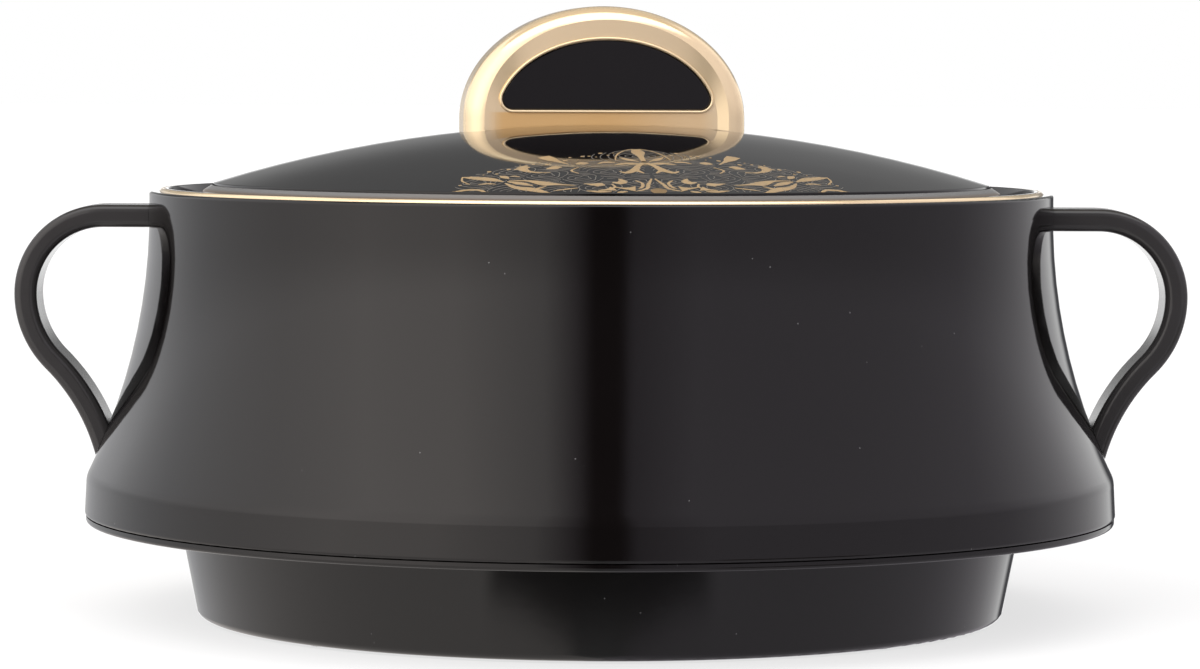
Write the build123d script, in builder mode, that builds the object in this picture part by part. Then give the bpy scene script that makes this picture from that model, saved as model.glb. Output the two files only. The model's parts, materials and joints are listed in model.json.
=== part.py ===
from build123d import *
import os
from math import asin, cos, degrees, radians, sin, sqrt

# Insulated chapati casserole: a flared double-walled body with a steel bowl, a stepped
# base, two ear-shaped side handles and a recessed lift-off lid with an arched knob.
# Millimetres, +Z up. The origin is the centre of the circle of feet, on the plane they
# stand on; +X runs through the two handles, and the front is towards -Y.

# ---- Clearances --------------------------------------------------------------------
fit_gap = 0.15       # between two rigid pieces that drop into each other
foam_gap = 0.1       # between the foam and what surrounds it
seat_gap = 0.1       # under a curved seat, filled by adhesive on the real piece
thread_gap = 0.1     # around a screw's shank
running_gap = 0.3    # between the lid and the body

# ---- Walls -------------------------------------------------------------------------
wall = 2.4           # moulded walls of the body and the base
lid_wall = 2.2       # moulded walls of the lid
sheet = 0.8          # steel of the bowl

# ---- Feet and base -----------------------------------------------------------------
foot_count = 4
foot_radius = 5.0
foot_height = 1.8
foot_proud = 0.6     # how far a foot stands below the base
foot_margin = 2.0    # from a foot's edge to the base's rounded edge
base_step = 23.15    # how far the top of the base stands in from its lip
base_flare = 4.7     # how much wider the base is at its top
base_height = 23.75  # from the underside to the lip that carries the skirt
base_edge = 2.5      # rounding of the underside's edge
lip_height = 1.7     # thickness of that lip
lip_inset = 0.3      # how far the lip stays inside the skirt
lip_edge = 0.9       # rounding of the lip's lower edge
spigot_height = 3.5  # locating ring that stands in the skirt
socket_wall = 1.2    # round the sockets that take the body's screw bosses

# ---- Outer body --------------------------------------------------------------------
body_radius = 112.7  # straight upper wall
band_height = 9.75   # upright band at the foot of the skirt
band_flare = 0.5     # how much wider the band is at its bottom
band_edge = 1.0      # rounding of its lower edge
crease_edge = 6.0    # rounding of the crease above the band
flare_height = 65.3  # from the crease to where the wall stands upright
flare_radius = 145.0
shoulder_height = 5.2    # from there to the top of the wall
shoulder_edge = 0.8

# ---- Rim ---------------------------------------------------------------------------
ring_sink = 0.7      # how far the gold ring's seat lies below the top of the wall
ring_setback = 2.6   # from the body's wall to the outside of the gold ring
ring_width = 1.25
ring_height = 1.4
ring_edge = 0.5
ledge_height = 1.3   # inner ledge of the outer body
ledge_reach = 3.95   # how far it reaches under the collar
collar_flange = 1.2
collar_lip = 0.8     # upright edge of the collar inside the gold ring
collar_lip_rise = 1.45
channel_width = 7.55 # of the sloping channel round the lid's seat
channel_drop = 2.05  # from the top of that edge to the sloping channel
channel_slope = 1.1  # height that the channel loses towards the lid
collar_wall = 2.0
seat_depth = 4.5     # from the top of the gold ring to the lid's seat
seat_width = 4.2

# ---- Bowl --------------------------------------------------------------------------
mouth_margin = 1.5   # from the mouth to the inner edge of the lid's seat
bowl_depth = 73.2
bowl_taper = 8.0     # how much narrower the bowl is at its floor
bowl_corner = 14.0
bowl_straight = 9.0  # upright stretch below the mouth
bowl_brim = 6.1      # width of its flat brim
brim_turn = 1.5      # how far the brim's edge turns down
seal_height = 1.2
seal_width = 2.8
foam_headroom = 1.0  # between the foam and the brim's turned edge
head_room = 1.0      # free space in the foam round a screw's head

# ---- Lid ---------------------------------------------------------------------------
lid_turn = 8.0       # how far the lid rests turned about its axis, in degrees
lid_gap = 0.7        # round the lid in its seat
dome_rise = 14.7
edge_rise = 5.95     # from the seat to the edge of the dome
edge_show = 0.6      # how much of the dome's edge stands above the lid's bezel
dome_edge = 0.3      # rounding of the dome's edge
bezel_width = 2.35
bezel_drop = 1.5
bezel_edge = 0.5     # rounding of its outer edge
groove_gap = 0.35    # between the dome's edge and the bezel
cover_skirt = 2.9
plug_depth = 13.9    # how far the lid reaches below its seat
plug_gap = 1.9       # between the plug and the bowl, where the seal sits
plug_edge = 1.5      # rounding of the plug's lower edge
seal_groove = 0.6
seal_drop = 3.9      # from the seat to the top of the lid's seal
seal_band = 2.5

# ---- Knob --------------------------------------------------------------------------
knob_width = 70.8
knob_arch = 28.05    # height of the arch's elliptical part
knob_stand = 1.35    # height of the straight part above the lid's crown
knob_depth = 19.6
knob_round = 5.8     # rounding of the arch's outer edges
panel_width = 54.6
panel_arch = 19.7
panel_floor = 2.2    # from the arch's springing to the panel's flat lower edge
panel_corner = 2.8
panel_edge = 0.3     # rounding of a panel's edge
bay_recess = 0.9     # from the arch's ridge to the bar and the panels
bay_splay = 3.05     # how much wider the bay gets towards the ridge, on each side
bay_lift = 10.55     # how much higher it gets, so that it slopes least at the top
bead_width = 0.55    # raised bead round each panel
bead_height = 0.35
web = 4.0            # wall between the two panels

# ---- Handles -----------------------------------------------------------------------
handle_standoff = 33.45  # from the body's wall to the outside of the handle
handle_width = 17.0
handle_thickness = 5.6
handle_edge = 1.8
handle_drop = 3.6    # from the top of the body's wall to the top of the handle
loop_upper = 22.2    # radii of the handle's outside, from top to bottom
loop_lower = 26.5
loop_tail = 47.8
loop_turn = 45.0     # angle where the handle starts to sweep back to the skirt
tail_turn = 37.0
lower_fixing = 35.5  # from the handle's widest height down to its lower fixing
tenon_height = 5.0
tenon_width = 11.0
tenon_root = 1.2     # how far a tenon is bedded in the handle

# ---- Fasteners ---------------------------------------------------------------------
screw_radius = 1.5
screw_length = 6.0   # of the handles' screws
base_screw_length = 10.0
head_radius = 2.6
head_height = 1.9
plate_height = 6.2
plate_width = 15.0
plate_thickness = 0.8
pad_margin = 0.3
pad_rise = 0.4
base_screw_inset = 12.7
boss_radius = 4.0
boss_height = 32.3
counterbore_depth = 4.2
counterbore_radius = 3.3
knob_screw_radius = 2.0
knob_screw_length = 12.0
knob_head_radius = 3.6
knob_head_height = 2.2
washer_radius = 4.6
washer_thickness = 0.8
knob_pad = 1.2       # flat pads under the lid's cover, below its inside
knob_pad_rim = 0.4   # how much wider a pad is than its washer

# ---- Heights, from the ground up ---------------------------------------------------
base_z = foot_proud
lip_z = base_z + base_height
joint_z = lip_z + lip_height
crease_z = joint_z + band_height
flare_z = crease_z + flare_height
shoulder_z = flare_z + shoulder_height
ring_z = shoulder_z - ring_sink
rim_z = ring_z + ring_height
ledge_z = ring_z - collar_flange
seat_z = rim_z - seat_depth
brim_z = seat_z - collar_wall - seal_height
bowl_z = brim_z - bowl_depth
foam_top_z = brim_z - sheet - brim_turn - foam_headroom
edge_z = seat_z + edge_rise
dome_z = edge_z + dome_rise
cover_z = edge_z - cover_skirt
plug_z = seat_z - plug_depth
springing_z = dome_z + knob_stand
knob_z = springing_z + knob_arch

# ---- Radii, from the outside in ----------------------------------------------------
def wall_radius(height):
    """Outside radius of the body between the crease and the shoulder."""
    drop = max(flare_z - height, 0.0)
    return body_radius + flare_radius - sqrt(flare_radius**2 - drop**2)


crease_radius = wall_radius(crease_z)
band_radius = crease_radius + band_flare
lip_radius = band_radius - lip_inset
base_top_radius = lip_radius - base_step
base_radius = base_top_radius - base_flare  # at the underside, before its edge is rounded
ring_radius = body_radius - ring_setback
rebate_radius = ring_radius + fit_gap
ring_inside = ring_radius - ring_width
collar_edge = ring_inside - fit_gap
collar_inside = collar_edge - collar_lip
ledge_radius = rebate_radius - ledge_reach
web_radius = ledge_radius - fit_gap
seat_radius = collar_inside - fit_gap - channel_width
seat_inside = seat_radius - seat_width
mouth_radius = seat_inside - mouth_margin
lid_radius = seat_radius - lid_gap
bezel_radius = lid_radius - bezel_width
edge_radius = bezel_radius - groove_gap
plug_radius = mouth_radius - plug_gap
spigot_radius = crease_radius - wall - fit_gap
foot_circle = base_radius - base_edge - foot_margin - foot_radius
base_screw_circle = band_radius - base_screw_inset
dome_radius = (edge_radius**2 + dome_rise**2) / (2 * dome_rise)

# ---- Handle layout -----------------------------------------------------------------
handle_reach = body_radius + handle_standoff
handle_top_z = shoulder_z - handle_drop
loop_z = handle_top_z - loop_upper
upper_fixing_z = handle_top_z - handle_thickness / 2
lower_fixing_z = loop_z - lower_fixing
pad_height = plate_height + 2 * pad_margin
pad_width = plate_width + 2 * pad_margin


def pad_face(height):
    """Distance from the axis of the flat pad inside the wall at a handle fixing."""
    inside = wall_radius(height + pad_height / 2) - wall
    return sqrt(inside**2 - (pad_width / 2) ** 2) - pad_rise


fixing_heights = (upper_fixing_z, lower_fixing_z)
fixings = [(side, height) for side in (1, -1) for height in fixing_heights]
base_angles = [45 + 90 * i for i in range(foot_count)]
knob_arm = (knob_width + panel_width) / 4  # from the axis to the middle of a knob arm


def finish(part, name):
    """Names a piece and writes its file."""
    part.label = name
    export_step(part, f"parts/{name}.step")


def body_outline(inset, top, bottom):
    """Draws the body's wall line, moved in by inset, from top down to bottom."""
    sweep = degrees(asin((flare_z - crease_z) / flare_radius))
    Line((body_radius - inset, top), (body_radius - inset, flare_z))
    centre = (body_radius + flare_radius - inset, flare_z)
    flare = CenterArc(centre, flare_radius, 180, sweep)
    Line(flare @ 1, (band_radius_at(bottom) - inset, bottom))


def band_radius_at(height):
    """Outside radius of the band, which widens evenly from the crease down."""
    return crease_radius + band_flare * (crease_z - height) / band_height


def ring_of(angles, circle, height):
    """Places copies on a circle at the given angles and height."""
    spots = [(circle * cos(radians(a)), circle * sin(radians(a))) for a in angles]
    return Locations(*[(x, y, height) for x, y in spots])


def round_corner(sketch, corner, radius):
    """Rounds the sketch's corner nearest to a point."""
    fillet(sketch.vertices().sort_by_distance(corner)[0], radius)


os.makedirs("parts", exist_ok=True)

# ---- Outer body --------------------------------------------------------------------
ledge_bottom_z = ledge_z - ledge_height
boss_z = joint_z + counterbore_depth  # where the base's screw bosses meet the body's

with BuildPart() as body_space:
    with BuildSketch(Plane.XZ):
        with BuildLine():
            body_outline(wall, ledge_bottom_z, joint_z)
            Polyline(
                (band_radius - wall, joint_z), (0, joint_z), (0, ledge_bottom_z),
                (body_radius - wall, ledge_bottom_z),
            )
        make_face()
    revolve(axis=Axis.Z)
    for side, height in fixings:
        with Locations((side * pad_face(height), 0, height)):
            Box(
                4 * wall, pad_width, pad_height,
                align=(Align.MIN if side > 0 else Align.MAX, Align.CENTER, Align.CENTER),
                mode=Mode.SUBTRACT,
            )
    with ring_of(base_angles, base_screw_circle, boss_z):
        Cylinder(
            boss_radius, boss_height,
            align=(Align.CENTER, Align.CENTER, Align.MIN), mode=Mode.SUBTRACT,
        )

with BuildPart() as outer_body:
    with BuildSketch(Plane.XZ) as outline:
        with BuildLine():
            body_outline(0, shoulder_z, joint_z)
            Polyline(
                (band_radius, joint_z), (0, joint_z), (0, ledge_z), (rebate_radius, ledge_z),
                (rebate_radius, shoulder_z), (body_radius, shoulder_z),
            )
        make_face()
        round_corner(outline, (body_radius, shoulder_z), shoulder_edge)
        round_corner(outline, (crease_radius, crease_z), crease_edge)
        round_corner(outline, (band_radius, joint_z), band_edge)
    revolve(axis=Axis.Z)
    add(body_space.part, mode=Mode.SUBTRACT)
    with Locations((0, 0, ledge_bottom_z)):
        Cylinder(
            ledge_radius, ledge_height,
            align=(Align.CENTER, Align.CENTER, Align.MIN), mode=Mode.SUBTRACT,
        )
    for side, height in fixings:
        outside = wall_radius(height - tenon_height)
        with Locations((side * outside, 0, height)):
            Box(
                2 * (outside - pad_face(height) + wall), tenon_width + 2 * fit_gap,
                tenon_height + 2 * fit_gap, mode=Mode.SUBTRACT,
            )
    with ring_of(base_angles, base_screw_circle, boss_z):
        Cylinder(
            screw_radius + thread_gap, base_screw_length,
            align=(Align.CENTER, Align.CENTER, Align.MIN), mode=Mode.SUBTRACT,
        )
finish(outer_body.part, "outer_body")


# ---- Base --------------------------------------------------------------------------
base_inside = base_radius - wall
base_top_inside = base_top_radius - wall
floor_z = base_z + wall

with BuildPart() as base_shell:
    with BuildSketch(Plane.XZ) as outline:
        with BuildLine():
            Polyline(
                (0, base_z), (base_radius, base_z), (base_top_radius, lip_z),
                (lip_radius, lip_z), (lip_radius, joint_z), (spigot_radius, joint_z),
                (spigot_radius, joint_z + spigot_height),
                (spigot_radius - wall, joint_z + spigot_height),
                (spigot_radius - wall, joint_z), (base_top_inside, joint_z),
                (base_inside, floor_z), (0, floor_z), close=True,
            )
        make_face()
        round_corner(outline, (base_radius, base_z), base_edge)
        round_corner(outline, (lip_radius, lip_z), lip_edge)
    revolve(axis=Axis.Z)
    with ring_of(base_angles, base_screw_circle, joint_z):
        Cylinder(
            boss_radius + socket_wall, counterbore_depth - fit_gap,
            align=(Align.CENTER, Align.CENTER, Align.MIN),
        )
    with ring_of(base_angles, base_screw_circle, lip_z):
        Cylinder(
            counterbore_radius, counterbore_depth,
            align=(Align.CENTER, Align.CENTER, Align.MIN), mode=Mode.SUBTRACT,
        )
        Cylinder(
            screw_radius + thread_gap, 2 * counterbore_depth + lip_height,
            align=(Align.CENTER, Align.CENTER, Align.MIN), mode=Mode.SUBTRACT,
        )
    with ring_of(base_angles, foot_circle, base_z):
        Cylinder(
            foot_radius + fit_gap, foot_height - foot_proud,
            align=(Align.CENTER, Align.CENTER, Align.MIN), mode=Mode.SUBTRACT,
        )
finish(base_shell.part, "base_shell")

with BuildPart() as base_feet:
    with ring_of(base_angles, foot_circle, 0):
        Cylinder(foot_radius, foot_height, align=(Align.CENTER, Align.CENTER, Align.MIN))
    soles = base_feet.faces().filter_by(Axis.Z).group_by(Axis.Z)[0]
    chamfer(soles.edges(), foot_proud / 2)
finish(base_feet.part, "base_feet")

with BuildPart() as base_screws:
    with ring_of(base_angles, base_screw_circle, lip_z + counterbore_depth):
        Cylinder(
            head_radius, head_height, align=(Align.CENTER, Align.CENTER, Align.MAX),
        )
        Cylinder(
            screw_radius, base_screw_length, align=(Align.CENTER, Align.CENTER, Align.MIN),
        )
finish(base_screws.part, "base_screws")


# ---- Bowl, its seal and the foam ---------------------------------------------------
def bowl_outline(thick):
    """Draws the bowl's line from its floor's centre to its mouth, moved out by thick."""
    straight_z = brim_z - bowl_straight
    floor_radius = mouth_radius - bowl_taper
    return FilletPolyline(
        (0, bowl_z - thick), (floor_radius + thick, bowl_z - thick),
        (mouth_radius + thick, straight_z), (mouth_radius + thick, brim_z),
        radius=[bowl_corner + thick, bowl_corner],
    )


brim_radius = mouth_radius + bowl_brim

with BuildPart() as inner_bowl:
    with BuildSketch(Plane.XZ):
        with BuildLine():
            bowl_outline(sheet)
            Line((mouth_radius + sheet, brim_z), (0, brim_z))
            Line((0, brim_z), (0, bowl_z - sheet))
        make_face()
        with BuildLine():
            Polyline(
                (0, brim_z), (brim_radius, brim_z), (brim_radius, brim_z - sheet - brim_turn),
                (brim_radius - sheet, brim_z - sheet - brim_turn),
                (brim_radius - sheet, brim_z - sheet), (0, brim_z - sheet), close=True,
            )
        make_face()
        with BuildLine():
            bowl_outline(0)
            Line((mouth_radius, brim_z), (0, brim_z))
            Line((0, brim_z), (0, bowl_z))
        make_face(mode=Mode.SUBTRACT)
    revolve(axis=Axis.Z)
finish(inner_bowl.part, "inner_bowl")

with BuildPart() as bowl_seal:
    with BuildSketch(Plane.XY.offset(brim_z)):
        Circle(brim_radius - sheet)
        Circle(brim_radius - sheet - seal_width, mode=Mode.SUBTRACT)
    extrude(amount=seal_height)
finish(bowl_seal.part, "bowl_seal")

foam_floor_z = floor_z + foam_gap
spigot_top_z = joint_z + spigot_height + foam_gap
foam_cut = pad_height + 2 * foam_gap
foam_pocket = head_height + plate_thickness + head_room

with BuildPart() as body_insulation:
    with BuildSketch(Plane.XZ):
        with BuildLine():
            body_outline(wall + foam_gap, ledge_bottom_z, spigot_top_z)
            Polyline(
                (band_radius_at(spigot_top_z) - wall - foam_gap, spigot_top_z),
                (spigot_radius - wall - foam_gap, spigot_top_z),
                (spigot_radius - wall - foam_gap, joint_z + foam_gap),
                (base_top_inside - foam_gap, joint_z + foam_gap),
                (base_inside - foam_gap, foam_floor_z), (0, foam_floor_z),
                (0, ledge_bottom_z), (body_radius - wall - foam_gap, ledge_bottom_z),
            )
        make_face()
        with BuildLine():
            bowl_outline(sheet + foam_gap)
            Line((mouth_radius + sheet + foam_gap, brim_z), (0, brim_z))
            Line((0, brim_z), (0, bowl_z - sheet - foam_gap))
        make_face(mode=Mode.SUBTRACT)
    revolve(axis=Axis.Z)
    split(bisect_by=Plane.XY.offset(foam_top_z), keep=Keep.BOTTOM)
    for side in (1, -1):
        with Locations((side * (pad_face(lower_fixing_z) - foam_pocket), 0, lower_fixing_z)):
            Box(
                4 * wall, pad_width + 2 * foam_gap, foam_cut,
                align=(Align.MIN if side > 0 else Align.MAX, Align.CENTER, Align.CENTER),
                mode=Mode.SUBTRACT,
            )
    with ring_of(base_angles, base_screw_circle, joint_z):
        Cylinder(
            boss_radius + socket_wall + foam_gap, counterbore_depth + foam_gap,
            align=(Align.CENTER, Align.CENTER, Align.MIN), mode=Mode.SUBTRACT,
        )
        Cylinder(
            boss_radius + foam_gap, counterbore_depth + boss_height + foam_gap,
            align=(Align.CENTER, Align.CENTER, Align.MIN), mode=Mode.SUBTRACT,
        )
finish(body_insulation.part, "body_insulation")


# ---- Rim ---------------------------------------------------------------------------
collar_top_z = ring_z + collar_lip_rise
channel_z = collar_top_z - channel_drop

with BuildPart() as rim_collar:
    with BuildSketch(Plane.XZ) as outline:
        with BuildLine():
            Polyline(
                (ring_radius, ledge_z), (ring_radius, ring_z), (collar_edge, ring_z),
                (collar_edge, collar_top_z), (collar_inside, collar_top_z),
                (collar_inside - fit_gap, channel_z),
                (seat_radius, channel_z - channel_slope), (seat_radius, seat_z),
                (seat_inside, seat_z), (seat_inside, seat_z - collar_wall),
                (seat_radius, seat_z - collar_wall),
                (web_radius, ledge_z - ledge_height - fit_gap), (web_radius, ledge_z),
                close=True,
            )
        make_face()
        round_corner(outline, (collar_inside, collar_top_z), collar_lip / 3)
    revolve(axis=Axis.Z)
finish(rim_collar.part, "rim_collar")

with BuildPart() as rim_ring:
    with BuildSketch(Plane.XY.offset(ring_z)):
        Circle(ring_radius)
        Circle(ring_inside, mode=Mode.SUBTRACT)
    extrude(amount=ring_height)
    fillet(rim_ring.faces().sort_by(Axis.Z)[-1].edges(), ring_edge)
finish(rim_ring.part, "rim_ring")


# ---- Handles and what holds them ---------------------------------------------------
upper_centre = (handle_reach - loop_upper, loop_z)
lower_centre = (handle_reach - loop_lower, loop_z)
tail_reach = loop_lower + loop_tail
tail_centre = (
    lower_centre[0] + tail_reach * cos(radians(loop_turn)),
    loop_z - tail_reach * sin(radians(loop_turn)),
)


def handle_outline(inset):
    """Draws the handle's side line from its arm to its tail, moved in by inset."""
    arm_start = (body_radius - 2 * wall, handle_top_z - inset)
    Line(arm_start, (upper_centre[0], handle_top_z - inset))
    CenterArc(upper_centre, loop_upper - inset, 90, -90)
    CenterArc(lower_centre, loop_lower - inset, 0, -loop_turn)
    tail = CenterArc(tail_centre, loop_tail + inset, 180 - loop_turn, tail_turn)
    return arm_start, tail @ 1


with BuildPart() as body_envelope:
    with BuildSketch(Plane.XZ):
        with BuildLine():
            body_outline(-seat_gap, shoulder_z, joint_z)
            Polyline(
                (band_radius + seat_gap, joint_z), (0, joint_z), (0, shoulder_z),
                (body_radius + seat_gap, shoulder_z),
            )
        make_face()
    revolve(axis=Axis.Z)

with BuildPart() as handle_right:
    with BuildSketch(Plane.XZ):
        with BuildLine():
            outer_start, outer_end = handle_outline(0)
            inner_start, inner_end = handle_outline(handle_thickness)
            Line(outer_start, inner_start)
            Line(outer_end, inner_end)
        make_face()
    extrude(amount=handle_width / 2, both=True)
    sides = handle_right.faces().filter_by(Axis.Y)
    fillet(sides.edges(), handle_edge)
    add(body_envelope.part, mode=Mode.SUBTRACT)
    for height in fixing_heights:
        start = pad_face(height) + fit_gap
        stop = wall_radius(height) + tenon_root
        with Locations((start, 0, height)):
            Box(
                stop - start, tenon_width, tenon_height,
                align=(Align.MIN, Align.CENTER, Align.CENTER),
            )
        with Locations(Plane((start, 0, height), z_dir=(1, 0, 0))):
            Cylinder(
                screw_radius + thread_gap, screw_length - plate_thickness,
                align=(Align.CENTER, Align.CENTER, Align.MIN), mode=Mode.SUBTRACT,
            )
finish(handle_right.part, "handle_right")

with BuildPart() as handle_left:
    add(handle_right.part.mirror(Plane.YZ))
finish(handle_left.part, "handle_left")

with BuildPart() as handle_plates:
    for side, height in fixings:
        with Locations((side * (pad_face(height) - plate_thickness / 2), 0, height)):
            Box(plate_thickness, plate_width, plate_height)
        with Locations(Plane((side * pad_face(height), 0, height), z_dir=(side, 0, 0))):
            Cylinder(screw_radius + thread_gap, 4 * plate_thickness, mode=Mode.SUBTRACT)
finish(handle_plates.part, "handle_plates")

with BuildPart() as handle_screws:
    for side, height in fixings:
        head_face = side * (pad_face(height) - plate_thickness)
        with Locations(Plane((head_face, 0, height), z_dir=(side, 0, 0))):
            Cylinder(
                head_radius, head_height, align=(Align.CENTER, Align.CENTER, Align.MAX),
            )
            Cylinder(
                screw_radius, screw_length, align=(Align.CENTER, Align.CENTER, Align.MIN),
            )
finish(handle_screws.part, "handle_screws")


# ---- Lid ---------------------------------------------------------------------------
knob_spots = [(side * knob_arm * cos(radians(lid_turn)),
               side * knob_arm * sin(radians(lid_turn))) for side in (1, -1)]
cover_floor = edge_radius - lid_wall


def dome_height(radius):
    """Height of the dome's outside at a distance from its axis."""
    return dome_z - dome_radius + sqrt(dome_radius**2 - radius**2)


def dome_line(inset, reach):
    """Draws the dome from its crown to the given radius, moved in by inset."""
    radius = dome_radius - inset
    sweep = degrees(asin(reach / radius))
    return CenterArc((0, dome_z - dome_radius), radius, 90 - sweep, sweep)


pad_z = dome_height(knob_arm + knob_head_radius) - lid_wall - knob_pad

with BuildPart() as cover_space:
    with BuildSketch(Plane.XZ):
        with BuildLine():
            inside = dome_line(lid_wall, cover_floor)
            Polyline(inside @ 0, (cover_floor, cover_z), (0, cover_z), inside @ 1)
        make_face()
    revolve(axis=Axis.Z)
    with Locations(*[(x, y, pad_z) for x, y in knob_spots]):
        Cylinder(
            washer_radius + knob_pad_rim, dome_z - pad_z,
            align=(Align.CENTER, Align.CENTER, Align.MIN), mode=Mode.SUBTRACT,
        )

with BuildPart() as lid_cover:
    with BuildSketch(Plane.XZ) as outline:
        with BuildLine():
            outside = dome_line(0, edge_radius)
            Polyline(outside @ 0, (edge_radius, cover_z), (0, cover_z), outside @ 1)
        make_face()
        round_corner(outline, (edge_radius, edge_z), dome_edge)
    revolve(axis=Axis.Z)
    add(cover_space.part, mode=Mode.SUBTRACT)
    with Locations(*[(x, y, pad_z) for x, y in knob_spots]):
        Cylinder(
            knob_screw_radius + thread_gap, dome_z,
            align=(Align.CENTER, Align.CENTER, Align.MIN), mode=Mode.SUBTRACT,
        )
finish(lid_cover.part, "lid_cover")

bezel_z = edge_z - edge_show
plug_inside = plug_radius - lid_wall
seal_top_z = seat_z - seal_drop

with BuildPart() as lid_base:
    with BuildSketch(Plane.XZ) as outline:
        with BuildLine():
            Polyline(
                (0, plug_z), (plug_radius, plug_z),
                (plug_radius, seal_top_z - seal_band),
                (plug_radius - seal_groove, seal_top_z - seal_band),
                (plug_radius - seal_groove, seal_top_z), (plug_radius, seal_top_z),
                (plug_radius, seat_z), (lid_radius, seat_z),
                (lid_radius, bezel_z - bezel_drop), (bezel_radius, bezel_z),
                (bezel_radius, cover_z), (plug_inside, cover_z),
                (plug_inside, plug_z + lid_wall), (0, plug_z + lid_wall), close=True,
            )
        make_face()
        round_corner(outline, (plug_radius, plug_z), plug_edge)
        round_corner(outline, (lid_radius, bezel_z - bezel_drop), bezel_edge)
    revolve(axis=Axis.Z)
finish(lid_base.part, "lid_base")

with BuildPart() as lid_seal:
    with BuildSketch(Plane.XY.offset(seal_top_z)):
        Circle(mouth_radius - running_gap)
        Circle(plug_radius - seal_groove, mode=Mode.SUBTRACT)
    extrude(amount=-seal_band)
finish(lid_seal.part, "lid_seal")

with BuildPart() as lid_insulation:
    with BuildSketch(Plane.XZ):
        with BuildLine():
            reach = plug_inside - foam_gap
            top = dome_line(lid_wall + foam_gap, reach)
            foot = plug_z + lid_wall + foam_gap
            Polyline(top @ 0, (reach, foot), (0, foot), top @ 1)
        make_face()
    revolve(axis=Axis.Z)
    pocket_z = pad_z - washer_thickness - knob_head_height - head_room
    with Locations(*[(x, y, pocket_z) for x, y in knob_spots]):
        Cylinder(
            washer_radius + head_room, dome_z - pocket_z,
            align=(Align.CENTER, Align.CENTER, Align.MIN), mode=Mode.SUBTRACT,
        )
finish(lid_insulation.part, "lid_insulation")


# ---- Knob --------------------------------------------------------------------------
front = Vector(sin(radians(lid_turn)), -cos(radians(lid_turn)), 0)
across = Vector(cos(radians(lid_turn)), sin(radians(lid_turn)), 0)
knob_foot_z = dome_height(knob_width / 2) - lid_wall
panel_z = springing_z + panel_floor
bay_face = knob_depth / 2 - bay_recess


def knob_side(turn, distance):
    """Plane parallel to a face of the knob: turn is 1 for the front, -1 for the back."""
    return Plane(front * turn * distance, x_dir=across * turn, z_dir=front * turn)


def arch(width, rise, floor, outset=0.0):
    """Draws an elliptical arch standing on a flat floor, moved out by outset."""
    half = width / 2 + outset
    curve = EllipticalCenterArc((0, springing_z), half, rise + outset, arc_size=180)
    Polyline(curve @ 0, (half, floor), (-half, floor), curve @ 1)


def panel_shape(outset=0.0):
    """Draws the outline of a knob panel, moved out by outset."""
    with BuildSketch(mode=Mode.PRIVATE) as shape:
        with BuildLine():
            arch(panel_width, panel_arch, springing_z - knob_stand, outset)
        make_face()
        with Locations((0, panel_z - outset)):
            Rectangle(
                knob_width, knob_arch, align=(Align.CENTER, Align.MAX), mode=Mode.SUBTRACT,
            )
        fillet(shape.vertices().group_by(Axis.Y)[0], panel_corner + outset)
    return shape.sketch


with BuildPart() as dome_envelope:
    with BuildSketch(Plane.XZ):
        with BuildLine():
            crown = dome_line(-seat_gap, knob_width)
            Polyline(crown @ 0, (knob_width, plug_z), (0, plug_z), crown @ 1)
        make_face()
    revolve(axis=Axis.Z)

with BuildPart() as knob_frame:
    with BuildSketch(knob_side(1, 0)):
        with BuildLine():
            arch(knob_width, knob_arch, knob_foot_z)
        make_face()
    extrude(amount=knob_depth / 2, both=True)
    for face in knob_frame.faces().filter_by(Axis((0, 0, 0), front)):
        rounded = face.edges().filter_by(lambda edge: edge.center().Z > springing_z - knob_stand)
        fillet(rounded, knob_round)
    for turn in (1, -1):
        for distance, splay, lift in ((bay_face, 0, 0), (knob_depth / 2, bay_splay, bay_lift)):
            with BuildSketch(knob_side(turn, distance)):
                with BuildLine():
                    arch(
                        panel_width + 2 * splay, panel_arch + lift,
                        knob_foot_z - knob_arch, bead_width,
                    )
                make_face()
        loft(ruled=True, mode=Mode.SUBTRACT)
        with BuildSketch(knob_side(turn, bay_face)):
            add(panel_shape(bead_width))
        extrude(amount=bead_height)
        with BuildSketch(knob_side(turn, web / 2)):
            add(panel_shape())
        extrude(amount=knob_depth, mode=Mode.SUBTRACT)
    add(dome_envelope.part, mode=Mode.SUBTRACT)
    with Locations(*[(x, y, 0) for x, y in knob_spots]):
        Cylinder(
            knob_screw_radius + thread_gap, pad_z - washer_thickness + knob_screw_length,
            align=(Align.CENTER, Align.CENTER, Align.MIN), mode=Mode.SUBTRACT,
        )
finish(knob_frame.part, "knob_frame")

for turn, name in ((1, "knob_panel_front"), (-1, "knob_panel_back")):
    with BuildPart() as panel:
        with BuildSketch(knob_side(turn, web / 2)):
            add(panel_shape(-fit_gap))
        extrude(amount=bay_face - web / 2)
        outer_face = panel.faces().sort_by(Axis((0, 0, 0), front * turn))[-1]
        fillet(outer_face.edges(), panel_edge)
    finish(panel.part, name)

with BuildPart() as knob_washers:
    with Locations(*[(x, y, pad_z) for x, y in knob_spots]):
        Cylinder(
            washer_radius, washer_thickness, align=(Align.CENTER, Align.CENTER, Align.MAX),
        )
        Cylinder(knob_screw_radius + thread_gap, 4 * washer_thickness, mode=Mode.SUBTRACT)
finish(knob_washers.part, "knob_washers")

with BuildPart() as knob_screws:
    with Locations(*[(x, y, pad_z - washer_thickness) for x, y in knob_spots]):
        Cylinder(
            knob_head_radius, knob_head_height,
            align=(Align.CENTER, Align.CENTER, Align.MAX),
        )
        Cylinder(
            knob_screw_radius, knob_screw_length,
            align=(Align.CENTER, Align.CENTER, Align.MIN),
        )
finish(knob_screws.part, "knob_screws")
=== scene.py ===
import json
import math

import bpy
from mathutils import Euler, Matrix


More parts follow.
